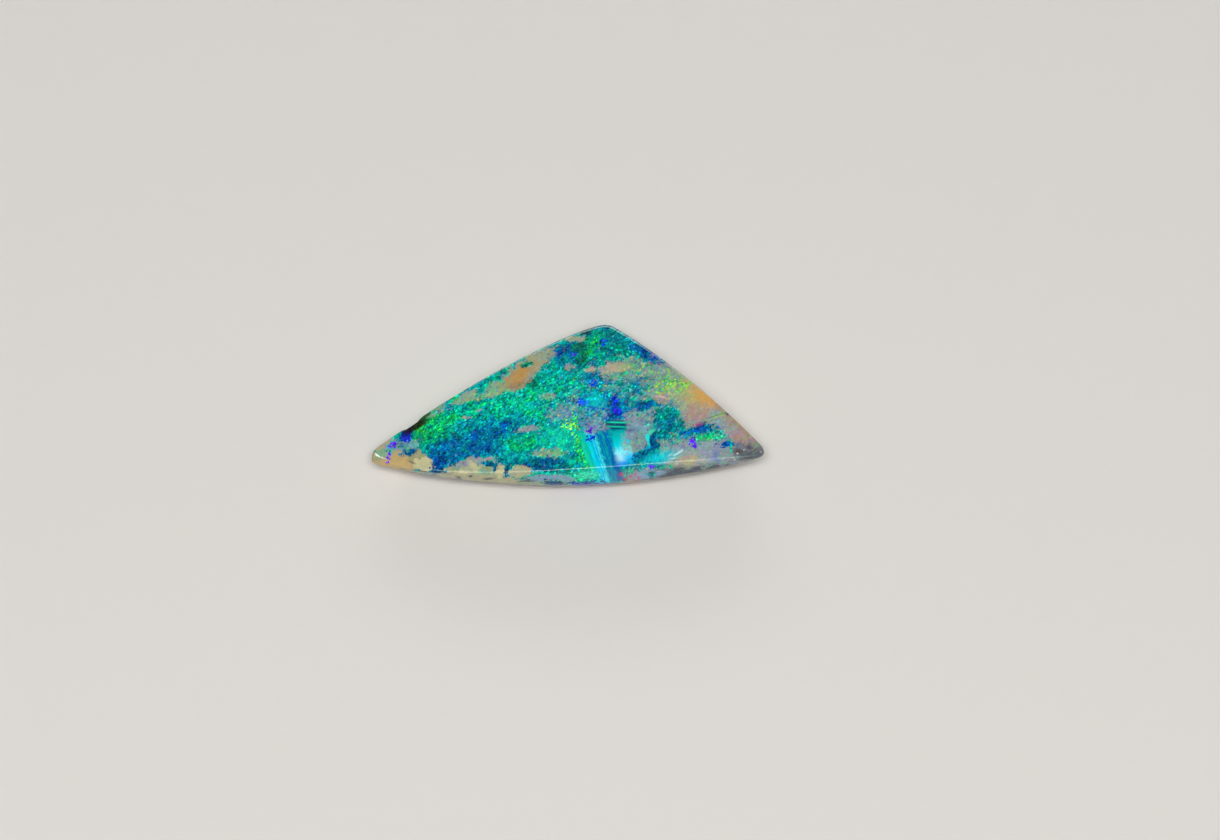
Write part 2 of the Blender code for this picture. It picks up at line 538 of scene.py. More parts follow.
# Tints that drift through the lively potch.
CLOUD_SCALE = (
    (0.26, colour(70, 110, 176)),
    (0.38, colour(128, 118, 180)),
    (0.48, colour(158, 158, 160)),
    (0.58, colour(116, 176, 136)),
    (0.68, colour(186, 168, 122)),
    (0.78, colour(186, 140, 140)),
)

# Across the fibres, from their left side to the dark edge beside the clear panel.
FIBRE_SCALE = (
    (0.00, colour(0, 160, 130)),
    (0.08, colour(20, 196, 140)),
    (0.18, colour(0, 190, 180)),
    (0.32, colour(0, 200, 214)),
    (0.42, colour(0, 176, 226)),
    (0.52, colour(60, 220, 226)),
    (0.60, colour(0, 150, 170)),
    (0.68, colour(0, 96, 164)),
    (0.76, colour(0, 166, 174)),
    (0.84, colour(0, 84, 160)),
    (0.92, colour(0, 112, 176)),
    (1.00, colour(0, 58, 136)),
)

# Up the clear panel, from its foot to its top.
PANEL_SCALE = (
    (0.00, colour(0, 130, 215)),
    (0.22, colour(40, 196, 236)),
    (0.36, colour(120, 230, 240)),
    (0.52, colour(0, 202, 212)),
    (0.78, colour(0, 172, 172)),
    (1.00, colour(0, 150, 150)),
)
print("fire runs through", len(FIRE_SCALE), "colours")

# %% [markdown]
# ## Effects that are used many times
#
# A few effects come back all over the stone, so each is a node group. A patch is a soft oval
# with a ragged rim, placed by its centre, half size and turn, and a slab is the same with
# straight sides. Grains are the little cells that each flash their own colour. Hairs are the
# fine parallel threads that the wood's fibres left.

# %% Patch, slab, grain and hair groups
NUMBER = "NodeSocketFloat"
VECTOR = "NodeSocketVector"


def new_group(name, inputs, outputs):
    """A shader node group with its input values and its named outputs."""
    group = bpy.data.node_groups.new(name, "ShaderNodeTree")
    for title, kind, value in inputs:
        socket = group.interface.new_socket(title, in_out="INPUT", socket_type=kind)
        socket.default_value = value
    for title in outputs:
        group.interface.new_socket(title, in_out="OUTPUT", socket_type=NUMBER)
    given = add(group, "NodeGroupInput").outputs
    result = add(group, "NodeGroupOutput").inputs
    return group, given, result


def place_group(tree, group, **values):
    """Places a group; a title's spaces are written as underscores."""
    node = add(tree, "ShaderNodeGroup", node_tree=group)
    for title, value in values.items():
        plug(tree, node.inputs[title.replace("_", " ")], value)
    return node.outputs


def local_to(tree, point, centre, turn, size):
    """The point as a thing of that centre, turn and size sees it, where 1 is its rim."""
    node = add(tree, "ShaderNodeMapping", vector_type="TEXTURE")
    for title, value in (("Vector", point), ("Location", centre), ("Rotation", turn), ("Scale", size)):
        plug(tree, node.inputs[title], value)
    return node.outputs["Vector"]


SHAPE_INPUTS = (
    ("Point", VECTOR, (0, 0, 0)),
    ("Rag", NUMBER, 0.0),
    ("Centre", VECTOR, (0, 0, 0)),
    ("Long Axis", VECTOR, (1, 0, 0)),
    ("Wide Axis", VECTOR, (0, 1, 0)),
    ("Feather", NUMBER, 0.3),
)


def shape_group(name, square):
    """An axis points along one half of the shape, and is as long as one over its length."""
    group, given, result = new_group(name, SHAPE_INPUTS, ("Mask",))
    off = vector_math(group, "SUBTRACT", given["Point"], given["Centre"])
    lengthwise = vector_math(group, "DOT_PRODUCT", off, given["Long Axis"])
    widthwise = vector_math(group, "DOT_PRODUCT", off, given["Wide Axis"])
    if square:
        lengthwise = calculate(group, "ABSOLUTE", lengthwise)
        distance = calculate(group, "MAXIMUM", lengthwise, calculate(group, "ABSOLUTE", widthwise))
    else:
        squares = [calculate(group, "MULTIPLY", way, way) for way in (lengthwise, widthwise)]
        distance = calculate(group, "SQRT", calculate(group, "ADD", *squares))
    inside = calculate(group, "SUBTRACT", calculate(group, "ADD", 1.0, given["Rag"]), distance)
    low = calculate(group, "MULTIPLY", given["Feather"], -1.0)
    plug(group, result["Mask"], soft_step(group, inside, low, given["Feather"]))
    return group


def grain_group():
    picks = ("Pick A", "Pick B", "Pick C")
    group, given, result = new_group(
        "Grains", (("Point", VECTOR, (0, 0, 0)), ("Size", NUMBER, 0.1)), picks
    )
    cells = add(group, "ShaderNodeTexVoronoi", voronoi_dimensions="3D", feature="F1")
    plug(group, cells.inputs["Vector"], given["Point"])
    plug(group, cells.inputs["Scale"], calculate(group, "DIVIDE", 1.0, given["Size"]))
    for title, value in zip(picks, parts_of(group, cells.outputs["Color"])):
        plug(group, result[title], value)
    return group


def hair_group():
    sizes = (("Turn", VECTOR, (0, 0, 0)), ("Thickness", VECTOR, (0.08, 1.5, 1.0)))
    group, given, result = new_group("Hairs", (("Point", VECTOR, (0, 0, 0)),) + sizes, ("Thread",))
    local = local_to(group, given["Point"], (0, 0, 0), given["Turn"], given["Thickness"])
    threads = add(group, "ShaderNodeTexNoise", noise_dimensions="3D")
    plug(group, threads.inputs["Vector"], local)
    plug(group, threads.inputs["Scale"], 1.0)
    plug(group, threads.inputs["Detail"], 2.0)
    plug(group, result["Thread"], soft_step(group, threads.outputs[0], 0.34, 0.66))
    return group


patches = shape_group("Patch", square=False)
slabs = shape_group("Slab", square=True)
grains = grain_group()
hairs = hair_group()
print("groups:", [group.name for group in (patches, slabs, grains, hairs)])

# %% [markdown]
# ## Where everything lies
#
# The pattern of a stone follows no rule, so its areas are laid out one by one, each with a name,
# as a painter would block them in: first the fire, then the cloudy body over it, then the small
# bright spots. Places and half sizes are millimetres on the face, x to the right and y towards
# the apex. Veil says how much of the fire the body hides, hue where the fire lies on its scale,
# glow how bright it is, body the potch colour, lively how much the potch changes and sparkles,
# and tinge whether those sparks lean to violet or to lime. What is left out stays as it was.

# %% Areas of fire and of potch
Area = namedtuple("Area", "name x y long wide turn feather veil hue glow body lively tinge")


def area(
    name, x, y, long, wide, turn=0, feather=0.35,
    veil=None, hue=None, glow=None, body=None, lively=None, tinge=None,
):
    return Area(name, x, y, long, wide, turn, feather, veil, hue, glow, body, lively, tinge)


FIRE_AREAS = (
    area("clouded right half", 5.6, -1.2, 5.0, 3.6, feather=0.5, veil=0.5, hue=0.56, lively=0.8),
    area("clouded middle", 1.2, -1.6, 2.2, 1.6, feather=0.5, veil=0.42, hue=0.50, glow=1.1, lively=0.8),
    area("emerald by the wedge", -7.9, -1.9, 1.0, 0.8, 40, 0.5, hue=0.71, glow=0.6),
    area("emerald of the left", -7.2, -2.3, 1.2, 0.9, 50, 0.5, hue=0.67, glow=0.62),
    area("sea green middle", -3.6, -1.0, 2.8, 1.2, 20, 0.6, hue=0.62, glow=1.06),
    area("sea green crossing", -0.8, 0.6, 1.8, 1.0, 20, 0.6, hue=0.61, glow=1.04),
    area("turquoise of the left", -5.0, -1.9, 1.4, 0.7, 10, 0.6, hue=0.58, glow=0.95),
    area("blue of the lower left", -6.8, -3.7, 1.1, 0.7, -15, 0.7, hue=0.37, glow=0.85),
    area("blue of the left front", -5.5, -3.3, 1.3, 0.8, 15, 0.8, hue=0.40, glow=0.88),
    area("blue of the middle left", -4.4, -2.9, 1.3, 0.9, 20, 0.6, hue=0.40, glow=0.9),
    area("blue by the beige", -3.4, -2.2, 0.9, 0.5, 30, 0.6, hue=0.42, glow=0.9),
    area("green by the veiled band", -2.7, -3.2, 1.0, 0.42, 0, 0.5, hue=0.68, glow=0.9),
    area("dark blue above", -0.2, 2.8, 0.9, 0.55, 10, 0.6, hue=0.38, glow=0.72),
    area("teal below the apex", 0.5, 2.0, 1.3, 0.6, 20, 0.6, hue=0.54, glow=0.8),
    area("teal of the apex", 2.2, 3.6, 1.9, 1.2, 0, 0.5, hue=0.53, glow=0.72),
    area("green in the apex", 1.3, 3.2, 0.5, 0.9, -25, 0.6, hue=0.70, glow=0.72),
    area("dark gap near the apex", 0.66, 3.1, 0.4, 0.3, 20, 0.7, veil=0.0, hue=0.60, glow=0.3),
    area("dark gap below it", 0.75, 2.2, 0.35, 0.25, 60, 0.7, veil=0.0, hue=0.62, glow=0.35),
    area("dark gap by the ochre", -1.9, 0.6, 0.5, 0.3, 45, 0.7, veil=0.0, hue=0.60, glow=0.45),
    area("turquoise right of the apex", 3.8, 3.3, 0.9, 0.35, -38, 0.5, hue=0.50, glow=1.1),
    area("blue band right of the apex", 4.7, 2.5, 1.1, 0.34, -36, 0.5, veil=0.0, hue=0.32, glow=0.8),
    area("blue left of the oval", 1.6, 1.0, 0.7, 0.5, 0, 0.6, hue=0.44, glow=0.9),
    area("petrol at the front", -1.4, -4.45, 1.3, 0.36, 0, 0.5, veil=0.1, hue=0.42, glow=0.6),
    area("glow beside the fibres", -0.4, -3.0, 0.7, 0.85, 0, 0.6, veil=0.0, hue=0.62, glow=1.2),
    area("blue around the fibres", 2.7, -1.2, 0.8, 0.9, 0, 0.6, veil=0.2, hue=0.42, glow=1.05),
    area("cyan above the fibres", 1.5, -0.5, 0.6, 0.45, 0, 0.6, veil=0.1, hue=0.52, glow=1.3),
    area("teal heart of the right", 5.7, -1.8, 0.75, 0.7, 0, 0.5, veil=0.0, hue=0.50, glow=0.75),
    area("teal below the heart", 5.2, -2.6, 0.6, 0.4, -20, 0.5, veil=0.15, hue=0.50, glow=0.8),
    area("petrol band of the right", 4.1, -0.95, 1.0, 0.26, 8, 0.5, veil=0.05, hue=0.40, glow=0.85),
    area("teal of the right front", 4.4, -3.9, 0.8, 0.5, 0, 0.5, veil=0.1, hue=0.50, glow=0.9),
    area("teal in the lime field", 4.2, 0.5, 0.9, 0.5, 20, 0.6, veil=0.25, hue=0.50, glow=0.95),
)

BODY_AREAS = (
    area("left tip", -9.9, -3.6, 1.4, 1.0, 0, 0.3, veil=0.95, body=TIP_OCHRE, lively=0.15),
    area("lilac of the left tip", -9.5, -3.0, 0.9, 0.32, 20, 0.5, veil=0.6, body=MAUVE, lively=0.9, tinge=-0.4),
    area("green tinge of the tip", -10.5, -3.5, 0.3, 0.35, 0, 0.6, body=PALE_GREEN, lively=0.6),
    area("mauve strip of the tip", -8.8, -3.1, 0.7, 0.25, 15, 0.5, veil=0.6, body=CLOUD_GREY, lively=0.8),
    area("ochre of the left front", -9.3, -4.15, 1.5, 0.46, -8, 0.3, veil=1.1, body=TIP_OCHRE, lively=0.05),
    area("olive cell", -8.45, -3.65, 0.5, 0.38, -30, 0.25, veil=1.0, body=OLIVE_SAND, lively=0.1),
    area("pale edge of the left", -7.5, -1.0, 0.8, 0.3, 35, 0.5, veil=0.6, body=PALE_GREEN, lively=0.8),
    area("cream cell", -8.0, -4.25, 0.6, 0.38, -5, 0.12, veil=1.2, body=CREAM, lively=0.0),
    area("cream band of the front", -5.3, -4.75, 1.8, 0.55, 2, 0.35, veil=1.05, body=SAND, lively=0.35),
    area("light cream in the band", -6.1, -4.85, 0.8, 0.35, 5, 0.3, body=CREAM, lively=0.05),
    area("grey over the band", -5.0, -4.1, 0.9, 0.2, 4, 0.4, veil=0.9, body=PINK, lively=0.5),
    area("cream of the front bevel", -5.6, -5.5, 4.6, 0.7, -5, 0.2, veil=1.1, body=SAND, lively=0.1),
    area("beige of the front bevel", -1.3, -5.65, 1.6, 0.35, 0, 0.3, veil=0.85, body=BEIGE, lively=0.5),
    area("grey of the front bevel", -0.9, -5.3, 1.5, 0.2, 0, 0.35, veil=0.8, body=CLOUD_GREY, lively=0.5),
    area("cream block", -3.75, -4.85, 0.28, 0.4, 0, 0.15, veil=1.1, body=CREAM, lively=0.0),
    area("cream by the middle front", -2.7, -4.85, 0.75, 0.32, 5, 0.25, veil=0.95, body=SAND, lively=0.2),
    area("olive brush in the band", -6.25, -4.5, 0.4, 0.13, 42, 0.5, veil=0.9, body=OLIVE_SAND, lively=0.5),
    area("pink brush in the band", -5.5, -4.15, 0.45, 0.13, 45, 0.5, veil=0.9, body=PINK, lively=0.6),
    area("cream brush in the band", -5.15, -4.5, 0.5, 0.14, -48, 0.3, veil=1.1, body=CREAM, lively=0.05),
    area("sage cell in the band", -4.6, -4.75, 0.35, 0.2, 10, 0.35, veil=0.95, body=PALE_GREEN, lively=0.6),
    area("beige brush in the band", -6.7, -4.8, 0.4, 0.14, 40, 0.4, veil=1.0, body=BEIGE, lively=0.3),
    area("cream at the upper edge", -5.7, -0.2, 0.8, 0.3, 28, 0.4, veil=0.8, body=SAND, lively=0.7),
    area("lime at the upper edge", -4.8, -0.2, 0.7, 0.25, 20, 0.5, veil=0.6, body=OLIVE, lively=1.0, tinge=0.25),
    area("grey green strip", -4.1, 0.3, 0.6, 0.45, 35, 0.4, veil=0.75, body=PALE_GREEN, lively=0.7),
    area("beige above the ochre", -1.75, 2.3, 1.3, 0.6, 36, 0.5, veil=0.8, body=BEIGE, lively=0.5),
    area("ochre pool", -2.7, 1.15, 1.2, 0.55, 40, 0.85, veil=1.1, body=OCHRE, lively=0.05),
    area("rust below the ochre", -2.8, 0.5, 0.55, 0.24, 10, 0.8, veil=0.9, body=RUST, lively=0.3),
    area("pale blotch near the apex", 0.4, 3.65, 0.55, 0.2, 12, 0.4, veil=0.9, body=SAND, lively=0.5),
    area("mauve fleck above", 0.1, 1.65, 0.32, 0.22, -10, 0.6, veil=0.72, body=PINK, lively=0.6),
    area("peach fleck above", 1.15, 1.45, 0.4, 0.18, 12, 0.6, veil=0.78, body=PEACH, lively=0.4),
    area("yellowish veil", -1.2, -0.3, 0.5, 0.25, 0, 0.5, veil=0.62, body=BEIGE, lively=0.9),
    area("lime flecks", 0.3, -0.4, 0.35, 0.2, 10, 0.5, veil=0.5, body=OLIVE, lively=1.0, tinge=0.25),
    area("peach oval", 2.85, 1.45, 1.0, 0.5, -3, 0.6, veil=1.0, body=PEACH, lively=0.4),
    area("yellow end of the oval", 3.85, 1.5, 0.95, 0.5, -8, 0.6, veil=0.95, body=YELLOW_HAZE, lively=0.7, tinge=0.25),
    area("pale lime by the oval", 4.2, 1.85, 1.1, 0.45, -20, 0.5, veil=0.68, body=PALE_GREEN, lively=1.1, tinge=0.25),
    area("green grey below the oval", 3.4, 1.1, 1.1, 0.25, 0, 0.5, veil=0.6, body=PALE_GREEN, lively=0.9, tinge=0.1),
    area("grey near the right edge", 6.0, 1.35, 1.5, 0.45, -38, 0.6, veil=0.88, body=WARM_GREY, lively=0.7),
    area("lime field", 6.0, 0.4, 1.7, 1.0, -25, 0.6, veil=0.82, body=LIME_HAZE, lively=1.1, tinge=0.2),
    area("yellow of the lime field", 7.0, -0.1, 1.1, 0.8, -25, 0.9, veil=1.0, body=YELLOW_HAZE, lively=0.5, tinge=0.2),
    area("beige of the upper right edge", 6.9, 0.75, 1.0, 0.28, -42, 0.8, veil=1.0, body=BEIGE, lively=0.4),
    area("rosy grey of the right", 5.2, -0.3, 0.6, 0.35, -5, 0.8, veil=0.85, body=ROSE, lively=0.6),
    area("beige blotch of the left", -2.2, -2.4, 0.65, 0.22, 5, 0.4, veil=0.7, body=WARM_GREY, lively=0.5),
    area("mauve fleck of the left", -5.0, -1.1, 0.25, 0.1, 10, 0.4, veil=0.7, body=MAUVE, lively=0.8),
    area("pink fleck of the left", -5.7, -1.5, 0.32, 0.1, 5, 0.4, veil=0.7, body=PINK, lively=0.5),
    area("cloud left of the middle", -0.3, -1.3, 0.85, 0.45, 10, 0.5, veil=0.58, body=MAUVE, lively=0.8),
    area("cloud of the middle", 1.3, -1.5, 0.95, 0.5, 0, 0.45, veil=0.55, body=CLOUD_GREY, lively=1.0),
    area("grey above the lines", 1.7, -2.2, 0.5, 0.5, 0, 0.4, veil=0.65, body=PINK, lively=0.8),
    area("olive streak", -1.0, -3.8, 1.0, 0.28, 0, 0.5, veil=0.72, body=OLIVE, lively=0.7, tinge=0.25),
    area("orange of the right side", 8.1, -0.45, 1.5, 1.0, -42, 0.9, veil=1.2, body=ORANGE, lively=0.08),
    area("rose of the right", 7.25, -1.35, 0.85, 0.55, 10, 0.8, veil=1.0, body=ROSE, lively=0.4),
    area("lime below the orange", 8.5, -1.35, 0.8, 0.25, 32, 0.7, veil=0.85, body=LIME_HAZE, lively=1.1, tinge=0.3),
    area("grey by the lines", 3.7, -1.7, 0.75, 0.6, 0, 0.7, veil=0.72, body=MAUVE, lively=0.6),
    area("grey right of the lines", 4.1, -2.4, 0.75, 0.5, -10, 0.7, veil=0.72, body=CLOUD_GREY, lively=0.5),
    area("pale green by the right side", 9.1, -1.9, 1.3, 0.7, -38, 0.5, veil=0.85, body=PEARL, lively=0.55),
    area("grey of the right front", 8.0, -3.6, 2.4, 0.7, 3, 0.5, veil=0.85, body=PEARL, lively=0.5),
    area("amber rim of the right side", 9.6, -1.75, 1.6, 0.4, -46, 0.8, veil=1.0, body=AMBER_RIM, lively=0.3),
    area("peach of the right front", 6.6, -4.15, 0.8, 0.4, 5, 0.8, veil=1.0, body=PEACH, lively=0.4),
    area("pink by the right tip", 9.7, -2.7, 0.8, 0.35, -20, 0.8, veil=1.0, body=ROSE, lively=0.4),
    area("smoke of the right tip", 10.3, -3.6, 1.2, 0.7, 0, 0.7, veil=1.2, body=SMOKE, lively=0.2),
    # The right bevel: its own lilac grey, darkened further by painted shade.
    area("lilac and painted shade of the right bevel", 7.6, -5.05, 4.2, 0.68, 7, 0.3, veil=1.4, body=SHADED_LILAC_GREY, lively=0.15),
    area("grey below the flash", 4.4, -5.0, 1.1, 0.24, 6, 0.3, veil=0.9, body=CLOUD_GREY, lively=0.4),
    area("mauve of the front bevel", 3.1, -5.7, 1.6, 0.3, 4, 0.3, veil=0.95, body=PINK, lively=0.4),
)

SPOTS = (
    area("teal notch in the tip", -8.9, -3.5, 0.42, 0.16, 10, 0.35, veil=0.0, hue=0.36, glow=0.6),
    area("blue below the wedge", -9.1, -2.4, 0.4, 0.2, 30, 0.5, veil=0.0, hue=0.24, glow=0.5),
    area("blue notch in the front", -7.25, -4.3, 0.3, 0.5, -15, 0.4, veil=0.0, hue=0.3, glow=0.75),
    area("dark notch in the cream", -3.4, -4.75, 0.12, 0.35, 0, 0.4, veil=0.0, hue=0.4, glow=0.5),
    area("teal notch in the cream", -4.4, -4.4, 0.45, 0.18, -10, 0.4, veil=0.0, hue=0.42, glow=0.7),
    area("teal gap in the cream", -4.05, -4.6, 0.09, 0.28, -12, 0.4, veil=0.0, hue=0.42, glow=0.6),
    area("teal edge of the cream", -7.0, -4.65, 0.3, 0.1, -20, 0.5, veil=0.1, hue=0.42, glow=0.6),
    area("green spot in the beige", -2.3, 1.85, 0.3, 0.2, 20, 0.9, veil=0.1, hue=0.56, glow=0.4),
    area("blue above the lines", 2.75, -1.3, 0.22, 0.34, 0, 0.6, veil=0.0, hue=0.22, glow=0.95),
    area("dash of the right", 7.3, -2.3, 0.9, 0.28, 16, 0.4, veil=0.0, hue=0.32, glow=0.8),
    area("lime under the dash", 7.8, -2.75, 0.7, 0.22, 8, 0.6, veil=0.3, hue=0.74, glow=1.1),
    area("dash near the tip", 8.95, -3.1, 0.45, 0.15, 5, 0.4, veil=0.0, hue=0.3, glow=0.8),
    area("dark stroke of the right", 4.75, -3.2, 0.24, 0.5, -10, 0.4, veil=0.0, hue=0.36, glow=0.6),
    area("teal foot of the stroke", 4.2, -3.9, 0.6, 0.25, 25, 0.4, veil=0.0, hue=0.42, glow=0.7),
    area("green tick near the tip", 9.15, -3.3, 0.06, 0.26, 0, 0.4, veil=0.0, hue=0.66, glow=1.0),
    area("green of the front bevel", 1.0, -5.2, 0.62, 0.3, 0, 0.6, veil=0.0, hue=0.64, glow=1.35),
    area("blue of the front bevel", 1.2, -5.65, 1.1, 0.18, 2, 0.4, veil=0.0, hue=0.24, glow=0.8),
    area("dark blue of the front bevel", -0.8, -5.6, 0.6, 0.2, -5, 0.4, veil=0.0, hue=0.36, glow=0.45),
    area("teal of the front bevel", 4.7, -5.0, 0.22, 0.18, 0, 0.4, veil=0.0, hue=0.6, glow=0.6),
)

# These lie over the fibres and the panel.
OVER_CLOUDS = (
    area("beige cloud by the panel", 3.66, -3.35, 0.62, 0.55, 20, 0.9, veil=0.85, body=WARM_GREY, lively=0.8),
    area("haze above the cloud", 3.6, -2.65, 0.55, 0.35, 0, 0.9, veil=0.8, body=MAUVE, lively=0.7),
    area("lilac over the fibres", 1.35, -2.4, 0.42, 0.32, 0, 0.8, veil=0.85, body=MAUVE, lively=0.9, tinge=-0.4),
    area("haze over the fibres", 2.0, -2.2, 0.3, 0.25, 0, 0.9, veil=0.7, body=PINK, lively=0.8),
)

# Clusters of tiny dots, scattered wider than their own size.
DOTS = (
    area("violet of the tip", -9.75, -2.95, 0.18, 0.1, 20, veil=0.0, hue=0.02, glow=1.1),
    area("blue of the tip", -9.1, -2.6, 0.22, 0.14, 30, veil=0.0, hue=0.13, glow=0.7),
    area("violet below it", -10.0, -3.7, 0.06, 0.2, -20, veil=0.1, hue=0.0, glow=1.1),
    area("blue by the clouds", 2.58, -0.5, 0.22, 0.16, -40, veil=0.0, hue=0.15, glow=1.2),
    area("blue above the lines", 2.7, -1.25, 0.16, 0.14, veil=0.0, hue=0.12, glow=1.1),
    area("blue of the crossing", 1.37, 0.5, 0.2, 0.1, veil=0.0, hue=0.15, glow=1.2),
    area("blue left of the clouds", 0.9, -0.7, 0.16, 0.12, veil=0.0, hue=0.16, glow=1.15),
    area("blue in the cloud", 1.3, -1.05, 0.26, 0.1, -10, veil=0.1, hue=0.14, glow=1.1),
    area("violet in the fibres", 1.3, -2.5, 0.1, 0.14, veil=0.1, hue=0.0, glow=1.0),
    area("blue in the fibres", 1.3, -2.95, 0.12, 0.1, veil=0.1, hue=0.16, glow=1.1),
    area("violet below the apex", 0.27, 2.55, 0.14, 0.08, 20, veil=0.0, hue=0.11, glow=1.0),
    area("blue in the apex", 1.95, 3.45, 0.16, 0.1, veil=0.0, hue=0.18, glow=1.1),
    area("violet of the right", 6.95, -3.0, 0.1, 0.22, 25, veil=0.05, hue=0.0, glow=1.1),
    area("violet of the dash", 8.35, -3.12, 0.07, 0.05, veil=0.0, hue=0.03, glow=1.0),
    area("blue fleck by the crack", 9.1, -1.2, 0.12, 0.05, veil=0.0, hue=0.16, glow=0.8),
    area("violet under the flash", 4.7, -4.55, 0.12, 0.08, veil=0.0, hue=0.04, glow=1.0),
    area("lime flash", 0.15, -2.15, 0.22, 0.17, veil=0.0, hue=0.95, glow=1.3),
    area("lime above the flash", 0.35, -1.75, 0.12, 0.16, veil=0.1, hue=0.84, glow=1.0),
    area("lime strands", 0.52, -3.1, 0.1, 0.5, 15, veil=0.0, hue=0.88, glow=1.1),
    area("lower lime strands", 0.75, -3.8, 0.1, 0.42, 18, veil=0.0, hue=0.84, glow=1.1),
    area("green glints by the wedge", -8.05, -1.95, 0.3, 0.22, 40, veil=0.0, hue=0.82, glow=1.2),
    area("green glints of the left", -7.1, -1.9, 0.45, 0.22, 45, veil=0.0, hue=0.76, glow=1.1),
    area("lime glints of the field", 5.9, 0.5, 0.6, 0.2, 20, veil=0.45, hue=0.92, glow=0.95),
)
print("areas:", len(FIRE_AREAS), "of fire,", len(BODY_AREAS), "of potch,", len(OVER_CLOUDS), "of haze")
print("spots:", len(SPOTS), "with", len(DOTS), "clusters of dots")

# %% [markdown]
# Last come the strokes: plain touches of one colour, such as flashes of light, dark seams of
# the host rock, a hairline crack and the bubbles in the clear tip. They lie over all the rest.

# %% Strokes
Stroke = namedtuple("Stroke", "name x y long wide turn feather tint strength")
WHITE_CYAN = colour(205, 246, 252)
BRIGHT_CYAN = colour(20, 236, 226)
MINT = colour(70, 226, 178)
MINT_GLOW = colour(24, 214, 184)
AZURE = colour(0, 150, 235)
RED_FIRE = colour(226, 62, 74)
VIOLET = colour(96, 20, 250)
DEEP_BLUE = colour(34, 78, 188)
SEAM_BLUE = colour(8, 44, 88)
SEAM_GREY = colour(74, 84, 82)
PALE_PINK = colour(236, 190, 216)
LIME_STRAND = colour(128, 232, 60)
BUBBLE = colour(226, 216, 210)
BROWN_SPECK = colour(78, 44, 34)
LINE_DARK = colour(0, 58, 104)
FLASH_DEPTH = colour(0, 186, 224)
LINE_GREEN = colour(20, 226, 172)

